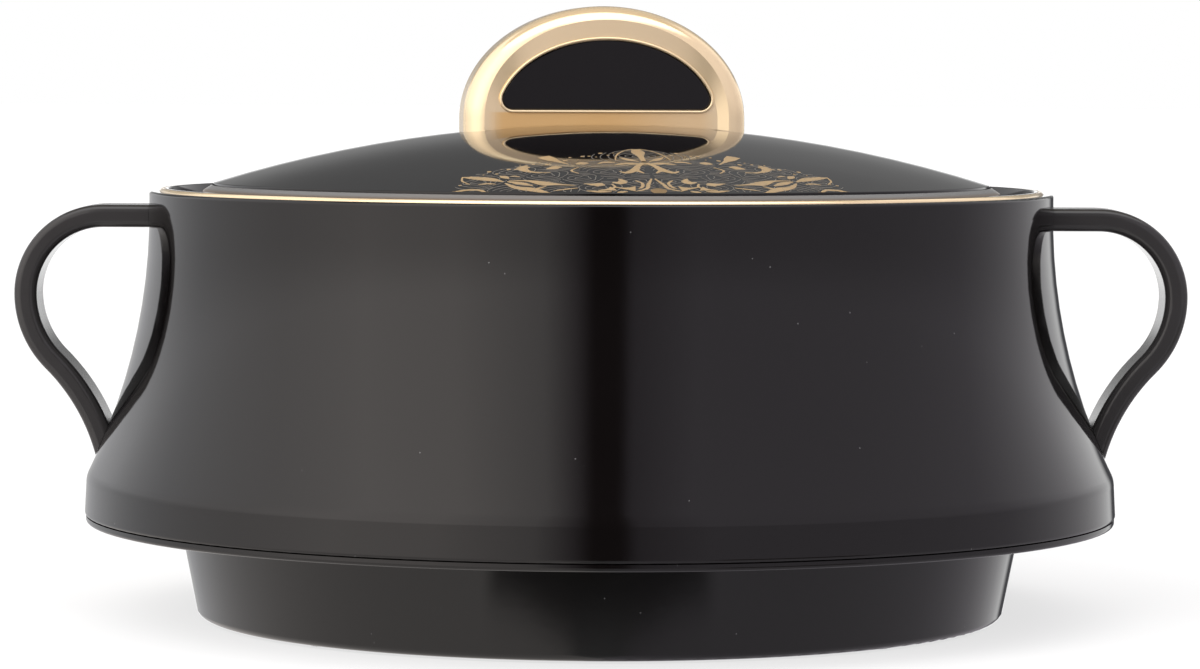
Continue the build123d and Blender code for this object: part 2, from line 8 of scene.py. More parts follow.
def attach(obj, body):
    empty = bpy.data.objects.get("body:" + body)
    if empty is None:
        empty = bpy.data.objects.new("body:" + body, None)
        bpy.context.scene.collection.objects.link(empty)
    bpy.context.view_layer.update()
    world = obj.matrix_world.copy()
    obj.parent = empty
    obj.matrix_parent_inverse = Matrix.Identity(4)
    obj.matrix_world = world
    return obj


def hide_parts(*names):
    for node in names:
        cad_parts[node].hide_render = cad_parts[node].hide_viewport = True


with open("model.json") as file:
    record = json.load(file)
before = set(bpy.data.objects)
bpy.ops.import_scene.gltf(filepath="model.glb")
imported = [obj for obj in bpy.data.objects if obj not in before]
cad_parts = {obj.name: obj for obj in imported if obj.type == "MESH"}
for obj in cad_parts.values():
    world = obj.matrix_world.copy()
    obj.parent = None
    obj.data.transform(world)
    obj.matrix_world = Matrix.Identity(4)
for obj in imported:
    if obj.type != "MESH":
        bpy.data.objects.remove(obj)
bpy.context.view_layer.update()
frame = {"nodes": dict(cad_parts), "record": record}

# Insulated chapati casserole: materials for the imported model, the printed ornament on its
# lid, a plain studio and the camera. Metres, +Z up, the front towards -Y.

MM = 0.001

# ---- Places on the casserole -------------------------------------------------------
LID_TURN = math.radians(8)    # how far the lid rests turned
BEZEL_RADIUS = 97.15 * MM     # inner edge of the lid's bezel
BEZEL_Z = 107.85 * MM         # its top
BEZEL_PAINTED_REFLECTION = (BEZEL_Z - 1.3 * MM, BEZEL_Z - 0.5 * MM)   # between these heights the bezel turns from a painted warm reflection of the gold ring to grey
DOME_RADIUS = 326.06 * MM     # of the lid's curve
DOME_Z = 123.15 * MM          # its crown
DOME_EDGE = 96.5 * MM         # the ornament ends here, just inside the dome's edge
SPRINGING_Z = DOME_Z + 1.35 * MM    # where the arches of the knob and its panels spring
PANEL_HALF = 27.3 * MM
PANEL_RISE = 19.7 * MM
PANEL_FLOOR = 2.2 * MM        # from the springing to a panel's lower edge
PANEL_CORNER = 2.8 * MM
BAR_FACE = 8.9 * MM           # from the knob's middle to the bar below a panel
BAR_LOW = 115 * MM            # a height below that bar, and its top
BAR_TOP = SPRINGING_Z + 1.45 * MM
BAR_FADE = (0, 24 * MM)       # across: where its deeper gold gets paler
BEAD = 0.34 * MM              # radius of the bright bead round each panel
BEAD_SIDES = 10
ARCH_STEPS = 40               # along half of a bead's arch
CORNER_STEPS = 12             # round its corner
HALVINGS = 40                 # of the range in which that corner's centre is sought
FOOT_HALF = 35.37 * MM        # half the knob's width where it meets the lid
FOOT_ROUND = 5.8 * MM
FOOT_FACE = 9.77 * MM         # from the knob's middle to its face there
FOOT_INSET = 0.07 * MM        # how far that face steps back beside the bay
FOOT_STEP = 2 * MM            # from one point of the filled seat to the next
FOOT_SEAL = (-0.08 * MM, 0.16 * MM)     # its edges, above the lid's curve
BAY_HALF = 27.85 * MM         # half the width of the bay between the knob's arms
BAY_MOUTH = 30.55 * MM        # the same at the knob's face
RING_RADIUS = 110.1 * MM      # gold ring on the rim
RING_WIDTH = 1.25 * MM
RING_LOW = 105.6 * MM
RING_TOP = 107.0 * MM
RING_EDGE = 0.5 * MM          # rounding of its inner edge
RING_SLOPE = (24, 50, 1.67 * MM)    # outside: from which tilt to which, on which radius
RING_CREST = 0.25 * MM        # rounding above the slope
RING_TURNS = 720              # steps round the ring
FLARE_Z = 101.1 * MM          # the body's wall is upright from here
SHOULDER_Z = 105.5 * MM       # up to here, where its rounded edge begins
SHOULDER_EDGE = 0.8 * MM      # height of that edge
BASE_WALL = (2.2 * MM, 24.3 * MM)   # heights between which the base's wall is straight
BASE_LEAN = -0.194            # how far its normal points up
TURNED_FACING = (0.87, 0.92)  # how far outwards a normal has to face before it is mended
DUST_SIZE = 0.045             # of a speck, as a share of a cell of the dust's pattern
DUST_RARITY = 0.62            # how high the noise has to be where there are specks
PEEL = 0.004 * MM             # depth of the orange peel on polished plastic
PEEL_BASE = 0.001 * MM        # on the base

# ---- Ornament ----------------------------------------------------------------------
# One half of the scroll fan on the lid, in millimetres: across from its middle line, and
# forwards from the lid's axis. Each stroke is a line of (across, forwards, width).
SCROLLS = (
    ((34.4, 82.2, 0.3), (37.2, 79.2, 2.3), (40.2, 76.8, 2.1), (43.3, 74.4, 0.4)),
    ((43.3, 74.7, 0.4), (43.6, 77.8, 0.5), (42.2, 81.0, 0.3)),
    ((34.8, 77.3, 0.4), (33.9, 78.4, 1.8), (33.0, 80.4, 0.3)),
    ((33.6, 82.3, 0.4), (30.9, 84.7, 1.9), (28.2, 87.3, 0.3)),
    ((33.2, 81.8, 0.4), (29.0, 83.3, 1.0), (25.4, 86.4, 2.9), (22.4, 87.9, 1.2), (18.4, 89.4, 0.3)),
    ((34.3, 83.4, 0.4), (32.2, 87.4, 1.7), (28.6, 90.2, 2.4), (25.0, 93.9, 0.5)),
    ((28.0, 89.9, 1.2), (25.4, 88.6, 0.3)),
    ((27.6, 70.4, 0.8), (29.0, 72.4, 2.7), (28.1, 75.4, 1.5), (25.7, 77.4, 0.8), (23.0, 78.0, 0.3)),
    ((19.8, 74.0, 0.5), (21.5, 74.2, 2.7), (23.6, 74.9, 0.4)),
    ((13.2, 71.8, 0.6), (14.7, 71.7, 2.6), (16.3, 72.0, 0.6)),
    ((17.8, 72.2, 0.3), (20.0, 68.6, 1.3), (21.4, 66.0, 2.9), (22.8, 63.0, 3.3)),
    ((47.0, 85.4, 0.8), (43.6, 84.9, 1.2), (40.6, 86.3, 1.0), (39.1, 89.4, 0.5)),
    ((16.5, 88.5, 0.3), (14.6, 89.3, 1.5), (13.1, 89.7, 2.6), (11.9, 90.3, 0.6)),
    ((9.9, 88.3, 0.3), (8.4, 88.9, 2.0), (7.4, 87.9, 2.2), (8.0, 85.8, 0.3)),
    ((14.0, 93.8, 0.3), (11.8, 93.5, 1.2), (10.2, 92.9, 3.0)),
    ((10.0, 91.8, 0.4), (7.6, 93.0, 1.1), (5.2, 93.4, 3.6)),
    ((10.2, 89.6, 0.5), (9.9, 92.0, 0.7), (12.6, 94.0, 0.4)),
    ((9.8, 95.6, 0.3), (8.6, 95.4, 1.1), (7.3, 95.3, 0.3)),
    ((16.6, 93.6, 0.3), (13.9, 94.6, 1.2), (11.0, 95.0, 0.3)),
    ((18.4, 91.4, 0.3), (21.0, 91.6, 0.7), (24.2, 92.2, 0.3)),
    ((0.4, 86.2, 0.4), (1.7, 90.2, 0.9), (2.6, 93.4, 0.9), (5.4, 95.2, 0.4)),
    ((4.5, 93.4, 0.4), (3.4, 92.0, 0.8), (3.1, 89.4, 0.7), (4.4, 87.4, 0.4)),
    ((0.0, 71.0, 1.2), (0.3, 66.0, 1.0), (0.5, 62.0, 2.2), (0.2, 58.4, 1.6)),
    ((6.6, 70.0, 0.3), (5.5, 64.6, 0.5), (3.3, 60.2, 0.5), (0.8, 58.0, 0.3)),
    ((5.2, 67.0, 0.3), (3.6, 69.2, 1.5), (1.2, 71.4, 0.5)),
    ((0.5, 72.8, 1.5), (2.0, 75.4, 1.4), (3.2, 78.6, 2.0), (5.4, 81.0, 1.4), (7.0, 79.8, 0.4)),
    ((3.2, 79.0, 1.6), (1.4, 81.6, 0.4)),
    ((1.6, 73.6, 1.6), (4.6, 73.0, 1.7), (7.4, 74.2, 0.4)),
    ((7.0, 72.4, 0.4), (9.0, 71.4, 1.5), (11.2, 72.6, 0.4)),
    ((16.0, 75.2, 0.3), (18.0, 77.6, 0.6), (16.6, 80.4, 0.3)),
    ((36.4, 83.4, 0.2), (38.2, 82.2, 1.0), (40.4, 82.0, 0.2)),
    ((30.4, 79.6, 0.3), (31.6, 78.6, 0.9), (32.6, 78.6, 0.2)),
)
ROSETTE = (0.0, 95.0, 1.9)    # at the fan's lower middle: its place and its radius
SPRAY_COUNT = 26              # small dots along the fan's inner edge
SPRAY_START, SPRAY_REACH = 6.0, 40.0    # across: the first dot, and from there to the last
SPRAY_OFF, SPRAY_SWAY = 1.6, 1.8        # past that edge, and how far they stray from there
SPRAY_TURN = 2.4              # radians of that swaying from one dot to the next
SPRAY_RADIUS, SPRAY_GROWTH = 0.22, 0.16     # of the smallest, and to the next larger size
RIPPLE_CENTRES = (
    (0.0, 66.0), (3.0, 88.0), (9.5, 80.0), (16.0, 84.0), (13.0, 92.0), (24.0, 80.0),
    (23.0, 93.0), (31.0, 75.0), (33.0, 90.0), (40.0, 80.0),
)
RIPPLE_COUNT = 8              # fine lines round each of these
RIPPLE_STEP = 1.25            # from one line to the next
RIPPLE_WAVE = 0.35            # how far a line strays from its ring
RIPPLE_STRETCH = 1.3          # across, of those rings
RIPPLE_WIDTH = 0.2
RIPPLE_MARGIN = 0.3           # to the middle line and to the dome's edge
# Where the fan begins, as (across, forwards).
FAN_EDGE = ((0.0, 57.0), (8.0, 62.0), (18.0, 66.0), (30.0, 70.0), (40.0, 73.5), (47.5, 84.0))
PRINT_LOW = 0.02 * MM         # the print's edge above the lid's curve
PRINT_HIGH = 0.075 * MM       # the middle of a stroke
STROKE_STEPS = 10             # from one point of a stroke to the next

# ---- Camera ------------------------------------------------------------------------
CAMERA_DISTANCE = 1.1787      # from the casserole's axis
CAMERA_ASIDE = -0.0002
CAMERA_HEIGHT = 0.1374
CAMERA_PITCH = 0.0567         # radians, downwards
CAMERA_ROLL = 0.0045
CAMERA_LENS = 141.3           # for the default 36 mm sensor

# ---- Studio ------------------------------------------------------------------------
# Heights over the horizon and azimuths from the front are in degrees, positive upwards and
# to the right. The panels are the brightness round the horizon by azimuth: two wide ones
# with a dark gap between them, where the camera stands, and white ones behind.
PANELS = (
    (-180, (2.0, 2.0, 2.0)),
    (-173, (2.0, 2.0, 2.0)),
    (-169, (0.80, 0.80, 0.80)),
    (-158, (0.85, 0.85, 0.87)),
    (-140, (1.0, 1.0, 1.02)),
    (-118, (1.05, 1.04, 1.06)),
    (-85, (1.38, 1.32, 1.30)),
    (-60, (1.85, 1.74, 1.68)),
    (-36, (1.75, 1.64, 1.58)),
    (-14, (1.14, 1.08, 1.06)),
    (-6, (0.42, 0.38, 0.40)),
    (-2, (0.05, 0.04, 0.04)),
    (5, (0.05, 0.04, 0.04)),
    (8, (0.36, 0.33, 0.37)),
    (24, (0.63, 0.59, 0.65)),
    (100, (0.66, 0.62, 0.68)),
    (130, (0.95, 0.92, 0.96)),
    (157, (1.3, 1.3, 1.3)),
    (162, (0.12, 0.12, 0.13)),
    (169, (0.12, 0.12, 0.13)),
    (173, (1.9, 1.9, 1.9)),
    (180, (2.0, 2.0, 2.0)),
)
PANEL_PEAK = 2.0              # the ramp's colours are stored as shares of this
PANEL_FOOT = 0.77             # how bright the panels are at the horizon
PANEL_FULL = 10               # height where they are at their full brightness
LOW_LEFT = (0.95, 0.90, 0.87, 1)    # what the base reflects from below the panels
LOW_RIGHT = (0.56, 0.53, 0.57, 1)
LOW_SPLIT = (-0.05, 0.05)     # from one to the other, as the direction's share to the right
LOW_BAND = (-24, -8)          # heights between which the panels take over from these two
LOW_GAP = (-29.4, -27.9, 7.5, 31.0)     # between two heights: half width of the gap at each
LOW_GAP_TONE = (-29.5, -28.8, 0.42, 0.06)   # the same for its brightness
LOW_GAP_EDGE = (-3, 4)        # how softly it ends
LOW_GAP_TOP = (-27.6, -26.8)  # heights between which it closes
DARK_CORNER = (0.10, 0.09, 0.08, 1)
DARK_CORNER_SIDES = (22, 30, 56, 66)    # azimuths where it starts, is full, fades and stops
DARK_CORNER_HEIGHTS = (-25, -23.5, -12, -7)
CEILING_LIGHT = 2.2
CEILING_EDGE = (48, 56)       # heights between which it takes over
CEILING_BACK = (90, 96)       # where it ends, in degrees from the front over the top
BEHIND = (158, 172)           # azimuths between which the rear wall takes over
BEHIND_WIDER = 24             # how much further round it reaches higher up
BEHIND_HEIGHTS = (5, 15)
REAR_FOOT = (0, 5.5)          # heights between which it rises from the pale floor
REAR_WALL = (0.30, 0.21)      # its brightness just above the horizon, and in the middle
REAR_MIDDLE = (8, 19)
REAR_WALL_HIGH = 0.07         # how much brighter it is again high up
REAR_HIGH = (20, 34)
REAR_WALL_RIGHT = 0.09        # and to the right
REAR_RIGHT = (-0.06, 0.10)    # as the direction's share to the right
REAR_RIGHT_HEIGHTS = (10, 20)
REAR_CEILING = (0.40, 0.34, 0.28, 1)
FILL_STRENGTH = 3.0
FILL_SPREAD = math.radians(70)
FILL_HEIGHT = math.radians(20)
FILL_ASIDE = math.radians(15)  # to the left
FLOOR_SIZE = 30.0
FLOOR_COLOUR = (0.82, 0.82, 0.83, 1)
FLOOR_SHADE = 0.30            # to the camera: the share that a shadow can take
FLOOR_GLOW = 0.70             # and the share that stays


# ---- Shader helpers ----------------------------------------------------------------
def wire(tree, node, inputs):
    """Sets a node's inputs, by name or number, to values or links them to sockets."""
    for key, value in inputs.items():
        if isinstance(value, bpy.types.NodeSocket):
            tree.links.new(value, node.inputs[key])
        else:
            node.inputs[key].default_value = value


def add_node(tree, kind, inputs=None, **settings):
    """Adds a node with the given settings and inputs."""
    made = tree.nodes.new(kind)
    for name, value in settings.items():
        setattr(made, name, value)
    wire(tree, made, inputs or {})
    return made


def calc(tree, operation, *values):
    """The output of a Math node on the given values or sockets."""
    made = add_node(tree, "ShaderNodeMath", dict(enumerate(values)), operation=operation)
    return made.outputs[0]


def vector_calc(tree, operation, *vectors, output="Vector", **inputs):
    """An output of a Vector Math node on the given vectors and named inputs."""
    sockets = {**dict(enumerate(vectors)), **inputs}
    return add_node(tree, "ShaderNodeVectorMath", sockets, operation=operation).outputs[output]


def place_of(tree):
    """Where a point lies on the casserole, as a vector in metres."""
    return add_node(tree, "ShaderNodeTexCoord").outputs["Object"]


def parts_of(tree, vector):
    """The x, y and z of a vector."""
    return add_node(tree, "ShaderNodeSeparateXYZ", {0: vector}).outputs


def from_axis(tree):
    """Distance from the casserole's axis, and height."""
    x, y, z = parts_of(tree, place_of(tree))
    squares = calc(tree, "ADD", calc(tree, "MULTIPLY", x, x), calc(tree, "MULTIPLY", y, y))
    return calc(tree, "SQRT", squares), z


def ring_place(tree, stretch):
    """A place for noise that runs in rings round the casserole's axis."""
    radius, height = from_axis(tree)
    tall = calc(tree, "MULTIPLY", height, stretch)
    return add_node(tree, "ShaderNodeCombineXYZ", {0: radius, 1: tall}).outputs[0]


def without(tree, share):
    """What share lacks to 1."""
    return calc(tree, "SUBTRACT", 1.0, share)


def smooth(tree, value, start, stop):
    """0 before start, 1 after stop, and a smooth step in between."""
    made = add_node(
        tree, "ShaderNodeMapRange", {"Value": value, "From Min": start, "From Max": stop},
        interpolation_type="SMOOTHSTEP",
    )
    return made.outputs["Result"]


def window(tree, value, start, full, fade, stop):
    """0 outside start and stop, 1 from full to fade, and smooth in between."""
    past_fade = smooth(tree, value, fade, stop)
    return calc(tree, "SUBTRACT", smooth(tree, value, start, full), past_fade)


def spread(tree, value, start, stop, low=0.0, high=1.0):
    """The number low up to start, high after stop, and a straight slope in between."""
    made = add_node(
        tree, "ShaderNodeMapRange",
        {"Value": value, "From Min": start, "From Max": stop, "To Min": low, "To Max": high},
    )
    return made.outputs["Result"]


def between(tree, share, low, high):
    """A share from 0 to 1 spread from low to high."""
    return spread(tree, share, 0.0, 1.0, low, high)


def blend(tree, share, first, second):
    """The colour first, turning into second as share goes from 0 to 1."""
    inputs = {0: share, 6: first, 7: second}
    return add_node(tree, "ShaderNodeMix", inputs, data_type="RGBA").outputs[2]


def grey(value):
    return (value, value, value, 1)


def noise(tree, scale, detail=2.0, vector=None):
    """Noise by position in metres, from 0 to 1."""
    inputs = {"Vector": vector or place_of(tree), "Scale": scale, "Detail": detail}
    return add_node(tree, "ShaderNodeTexNoise", inputs).outputs["Fac"]


def cells(tree, scale):
    """Distance from the middles of small cells by position."""
    inputs = {"Vector": place_of(tree), "Scale": scale}
    return add_node(tree, "ShaderNodeTexVoronoi", inputs).outputs["Distance"]


def choose(tree, share, first, second):
    """The number first, turning into second as share goes from 0 to 1."""
    return add_node(tree, "ShaderNodeMix", {0: share, 2: first, 3: second}).outputs[0]


def bump(tree, height, distance, strength=1.0, normal=None):
    """A normal bumped by height, whose full step is distance in metres."""
    inputs = {"Height": height, "Distance": distance, "Strength": strength}
    if normal:
        inputs["Normal"] = normal
    return add_node(tree, "ShaderNodeBump", inputs).outputs["Normal"]


def new_material(name):
    """A material with a Principled shader: the material, its tree and that shader."""
    material = bpy.data.materials.new(name)
    material.use_nodes = True
    tree = material.node_tree
    return material, tree, tree.nodes["Principled BSDF"]


def shoulder_rise(tree, height):
    """Where the body's wall is upright or rounded above, and how far its normal points up."""
    rise = spread(tree, height, SHOULDER_Z, SHOULDER_Z + SHOULDER_EDGE)
    return calc(tree, "GREATER_THAN", height, FLARE_Z), rise


def base_rise(tree, height):
    """Where the base's wall is straight, and how far its normal points up."""
    low, top = BASE_WALL
    above = calc(tree, "GREATER_THAN", height, low)
    return calc(tree, "MULTIPLY", above, calc(tree, "LESS_THAN", height, top)), BASE_LEAN


def turned_normal(tree, exact=None):
    """The normal of a turned piece, made to point straight away from its axis.

    The function exact, if given, takes the height. It returns where the upward share of the
    normal is known, and that share.
    """
    geometry = add_node(tree, "ShaderNodeNewGeometry").outputs["Normal"]
    place = place_of(tree)
    flat = vector_calc(tree, "MULTIPLY", geometry, (1, 1, 0))
    lean = vector_calc(tree, "NORMALIZE", flat)
    outward = vector_calc(tree, "NORMALIZE", vector_calc(tree, "MULTIPLY", place, (1, 1, 0)))
    facing = vector_calc(tree, "DOT_PRODUCT", lean, outward, output="Value")
    side = calc(tree, "SIGN", facing)
    level = calc(tree, "MULTIPLY", vector_calc(tree, "LENGTH", flat, output="Value"), side)
    up = parts_of(tree, geometry)["Z"]
    if exact:
        known, rise = exact(tree, parts_of(tree, place)["Z"])
        true_level = calc(tree, "SQRT", without(tree, calc(tree, "MULTIPLY", rise, rise)))
        level = choose(tree, known, level, calc(tree, "MULTIPLY", true_level, side))
        up = choose(tree, known, up, rise)
    around = vector_calc(tree, "SCALE", outward, Scale=level)
    upright = add_node(tree, "ShaderNodeCombineXYZ", {2: up}).outputs[0]
    near = smooth(tree, calc(tree, "ABSOLUTE", facing), *TURNED_FACING)
    inputs = {0: near, 4: geometry, 5: vector_calc(tree, "ADD", around, upright)}
    return add_node(tree, "ShaderNodeMix", inputs, data_type="VECTOR").outputs[1]


# ---- Materials ---------------------------------------------------------------------
def gloss_black(name, turned=False, exact=None, depth=PEEL):
    """Polished black plastic: a faint orange peel, patchy polish and a little dust.

    A turned piece gets the normals of turned_normal, and depth is the peel's.
    """
    material, tree, shader = new_material(name)
    patches = noise(tree, 22, 3)
    peel = noise(tree, 330, 2)
    near = calc(tree, "LESS_THAN", cells(tree, 260), DUST_SIZE)
    rare = calc(tree, "GREATER_THAN", noise(tree, 61, 0), DUST_RARITY)
    dust = calc(tree, "MULTIPLY", near, rare)
    black = blend(tree, patches, (0.0013, 0.0009, 0.0009, 1), (0.0026, 0.0021, 0.0021, 1))
    true = turned_normal(tree, exact) if turned else None
    wire(tree, shader, {
        "Base Color": blend(tree, calc(tree, "MULTIPLY", dust, 0.5), black, grey(0.16)),
        "Roughness": between(tree, patches, 0.035, 0.075),
        "Normal": bump(tree, peel, depth, normal=true),
        "IOR": 1.5,
    })
    return material


def satin_black():
    """Black plastic with a fine matt texture, a little shinier where hands rub it."""
    material, tree, shader = new_material("satin_black")
    patches = noise(tree, 45, 3)
    texture = noise(tree, 2600, 2)
    wire(tree, shader, {
        "Base Color": blend(tree, patches, (0.016, 0.015, 0.015, 1), (0.021, 0.020, 0.0202, 1)),
        "Roughness": between(tree, patches, 0.14, 0.21),
        "Normal": bump(tree, texture, 0.00003, 0.2),
        "IOR": 1.5,
    })
    return material


def gold():
    """Champagne gold plating, uneven in polish, with faint waves from the moulding.

    The bar below the knob's panels is of a deeper gold, most of all to the left.
    """
    material, tree, shader = new_material("gold")
    patches = noise(tree, 60, 4)
    waves = noise(tree, 120, 1)
    x, _, z = parts_of(tree, place_of(tree))
    aside = smooth(tree, calc(tree, "ABSOLUTE", x), BAY_HALF - 4 * MM, BAY_HALF + 1 * MM)
    bar = window(tree, z, BAR_LOW, BAR_LOW + 1 * MM, BAR_TOP, BAR_TOP + 0.5 * MM)
    bar = calc(tree, "MULTIPLY", bar, without(tree, aside))
    bar = calc(tree, "MULTIPLY", bar, between(tree, smooth(tree, x, *BAR_FADE), 1.0, 0.4))
    pale = blend(tree, patches, (0.95, 0.735, 0.455, 1), (0.99, 0.800, 0.530, 1))
    deep = blend(tree, patches, (0.90, 0.560, 0.230, 1), (0.94, 0.610, 0.270, 1))
    wire(tree, shader, {
        "Base Color": blend(tree, bar, pale, deep),
        "Metallic": 0.7,
        "Roughness": between(tree, patches, 0.10, 0.16),
        "Normal": bump(tree, waves, 0.00002, 0.5),
    })
    return material


def lid_trim():
    """Polished black with a satin grey bezel, whose lower part carries a painted warm reflection of
    the gold ring below it.
    """
    material = gloss_black("lid_trim", turned=True)
    tree = material.node_tree
    shader = tree.nodes["Principled BSDF"]
    radius, height = from_axis(tree)
    bezel = smooth(tree, radius, BEZEL_RADIUS - 0.1 * MM, BEZEL_RADIUS)
    streaks = noise(tree, 1400, 2, ring_place(tree, 3.0))
    # Painted reflection: towards its lower edge the bezel's grey turns brown, the gold ring's
    # reflection painted into its colour.
    higher = smooth(tree, height, *BEZEL_PAINTED_REFLECTION)
    tone = blend(tree, higher, (0.26, 0.185, 0.13, 1), (0.34, 0.335, 0.33, 1))
    tone = blend(tree, calc(tree, "MULTIPLY", streaks, 0.3), tone, grey(0.1))
    black = shader.inputs["Base Color"].links[0].from_socket
    polish = shader.inputs["Roughness"].links[0].from_socket
    wire(tree, shader, {
        "Base Color": blend(tree, bezel, black, tone),
        "Roughness": choose(tree, bezel, polish, 0.22),
        "Metallic": calc(tree, "MULTIPLY", bezel, 0.6),
    })
    return material


def bowl_steel():
    """Spun stainless steel: fine rings, and cloudy polish."""
    material, tree, shader = new_material("bowl_steel")
    rings = noise(tree, 1900, 3, ring_place(tree, 1.0))
    patches = noise(tree, 30, 3)
    wire(tree, shader, {
        "Base Color": blend(tree, patches, (0.56, 0.555, 0.55, 1), (0.66, 0.655, 0.65, 1)),
        "Metallic": 1.0,
        "Roughness": between(tree, rings, 0.20, 0.36),
        "Normal": bump(tree, rings, 0.00001, 0.7),
    })
    return material


def zinc():
    """Zinc-plated steel of the screws, plates and washers, with a mottled spangle."""
    material, tree, shader = new_material("fastener_steel")
    spangle = cells(tree, 900)
    wire(tree, shader, {
        "Base Color": blend(tree, spangle, (0.50, 0.50, 0.51, 1), (0.66, 0.65, 0.63, 1)),
        "Metallic": 1.0,
        "Roughness": between(tree, spangle, 0.28, 0.45),
        "Normal": bump(tree, noise(tree, 1500, 2), 0.00001),
    })
    return material


def rubber():
    """Dull black rubber with a fine grain."""
    material, tree, shader = new_material("rubber")
    grain = noise(tree, 1800, 3)
    patches = noise(tree, 90, 3)
    wire(tree, shader, {
        "Base Color": blend(tree, patches, (0.016, 0.016, 0.016, 1), (0.028, 0.027, 0.026, 1)),
        "Roughness": between(tree, grain, 0.66, 0.86),
        "Normal": bump(tree, grain, 0.00004),
    })
    return material


def foam():
    """Rigid cream foam with small cells."""
    material, tree, shader = new_material("foam")
    pores = cells(tree, 700)
    wire(tree, shader, {
        "Base Color": blend(tree, pores, (0.72, 0.66, 0.47, 1), (0.84, 0.79, 0.62, 1)),
        "Roughness": between(tree, pores, 0.82, 0.96),
        "Normal": bump(tree, pores, 0.0004),
    })
    return material


def dress_nodes():
    """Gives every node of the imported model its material, and returns the gold.

    That is the one of its slot in the record, or a variant for pieces with a turned surface.
    """
    finishes = {
        "gloss_black": gloss_black("gloss_black"),
        "satin_black": satin_black(),
        "gold": gold(),
        "bowl_steel": bowl_steel(),
        "fastener_steel": zinc(),
        "rubber": rubber(),
        "foam": foam(),
    }
    turned_black = gloss_black("gloss_black_turned", turned=True)
    special = {
        "rim_collar": turned_black,
        "lid_cover": turned_black,
        "base_shell": gloss_black("gloss_black_base", True, base_rise, PEEL_BASE),
        "outer_body": gloss_black("gloss_black_body", True, shoulder_rise),
        "lid_base": lid_trim(),
    }
    for subpart in frame["record"]["subparts"]:
        node = frame["nodes"][subpart["node"]]
        finish = special.get(subpart["node"], finishes[subpart["material_slot"]])
        for slot in node.material_slots:
            slot.material = finish
    return finishes["gold"]


def print_gold(name, low, high):
    """Metallic printing ink, mottled, with a slight grain."""
    material, tree, shader = new_material(name)
    patches = noise(tree, 240, 3)
    wire(tree, shader, {
        "Base Color": blend(tree, patches, low, high),
        "Metallic": 0.5,
        "Roughness": between(tree, patches, 0.30, 0.45),
        "Normal": bump(tree, noise(tree, 2200, 2), 0.00001),
    })
    return material


# ---- Added pieces ------------------------------------------------------------------
def lid_place(across, forwards, height):
    """A point given across and forwards in the lid's own directions, in metres."""
    sine, cosine = math.sin(LID_TURN), math.cos(LID_TURN)
    return (across * cosine + forwards * sine, across * sine - forwards * cosine, height)


def on_dome(across, forwards, lift):
    """A point lift above the lid's curve."""
    drop = DOME_RADIUS - math.sqrt(DOME_RADIUS**2 - across**2 - forwards**2)
    return lid_place(across, forwards, DOME_Z - drop + lift)


def add_piece(name, points, faces, material, body):
    """A smooth mesh piece that moves with a body."""
    mesh = bpy.data.meshes.new(name)
    mesh.from_pydata(points, [], faces)
    mesh.shade_smooth()
    mesh.materials.append(material)
    piece = bpy.data.objects.new(name, mesh)
    bpy.context.scene.collection.objects.link(piece)
    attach(piece, body)
    return piece


def curve_through(knots):
    """A smooth line through knots of any number of values (Catmull-Rom)."""
    ends = [knots[0], *knots, knots[-1]]
    line = []
    for a, b, c, d in zip(ends, ends[1:], ends[2:], ends[3:]):
        for step in range(STROKE_STEPS):
            t = step / STROKE_STEPS
            line.append([
                0.5 * (2 * q + (r - p) * t + (2 * p - 5 * q + 4 * r - s) * t**2
                       + (3 * q - p - 3 * r + s) * t**3)
                for p, q, r, s in zip(a, b, c, d)
            ])
    return line + [list(knots[-1])]


def add_stroke(points, faces, line, side, end):
    """Adds a raised stroke on the lid; side mirrors it, end 1 is the front and -1 the back."""
    first = len(points)
    for number, (across, forwards, width) in enumerate(line):
        before, after = line[max(number - 1, 0)], line[min(number + 1, len(line) - 1)]
        along = (after[0] - before[0], after[1] - before[1])
        length = math.hypot(*along) or 1.0
        aside = (along[1] / length * width / 2, -along[0] / length * width / 2)
        for share, lift in ((-1, PRINT_LOW), (0, PRINT_HIGH), (1, PRINT_LOW)):
            u = (across + share * aside[0]) * MM * side * end
            v = (forwards + share * aside[1]) * MM
            beyond = math.hypot(u, v) / DOME_EDGE
            if beyond > 1:
                u, v = u / beyond, v / beyond
            points.append(on_dome(u, v * end, lift))
    for start in range(first, len(points) - 3, 3):
        for column in (start, start + 1):
            quad = (column, column + 1, column + 4, column + 3)
            faces.append(quad if side > 0 else quad[::-1])


def disc(across, forwards, radius):
    """A round spot, as a stroke whose width swells and shrinks."""
    turns = [math.radians(10 * n) for n in range(1, 18)]
    return [(across - radius * math.cos(a), forwards, 2 * radius * math.sin(a)) for a in turns]


def fan_top(across):
    """How far from the lid's axis the fan begins, at a distance from its middle line."""
    for (u0, v0), (u1, v1) in zip(FAN_EDGE, FAN_EDGE[1:]):
        if across <= u1:
            return v0 + (v1 - v0) * (across - u0) / (u1 - u0)
    return DOME_EDGE / MM


def ripple_lines():
    """Fine lines in rings round the centres, each kept to where its centre is nearest."""
    lines = []
    edge = DOME_EDGE / MM - RIPPLE_MARGIN
    for centre in RIPPLE_CENTRES:
        for ring in range(1, RIPPLE_COUNT + 1):
            run = []
            for turn in range(0, 365, 5):
                angle = math.radians(turn)
                radius = ring * RIPPLE_STEP + RIPPLE_WAVE * math.sin(3 * angle + ring)
                u = centre[0] + RIPPLE_STRETCH * radius * math.cos(angle)
                v = centre[1] + radius * math.sin(angle)
                nearest = min(RIPPLE_CENTRES, key=lambda c: math.hypot(c[0] - u, c[1] - v))
                inside = u > RIPPLE_MARGIN and v > fan_top(u) and math.hypot(u, v) < edge
                if inside and nearest == centre:
                    run.append((u, v, RIPPLE_WIDTH))
                else:
                    lines.append(run)
                    run = []
            lines.append(run)
    return [line for line in lines if len(line) > 2]


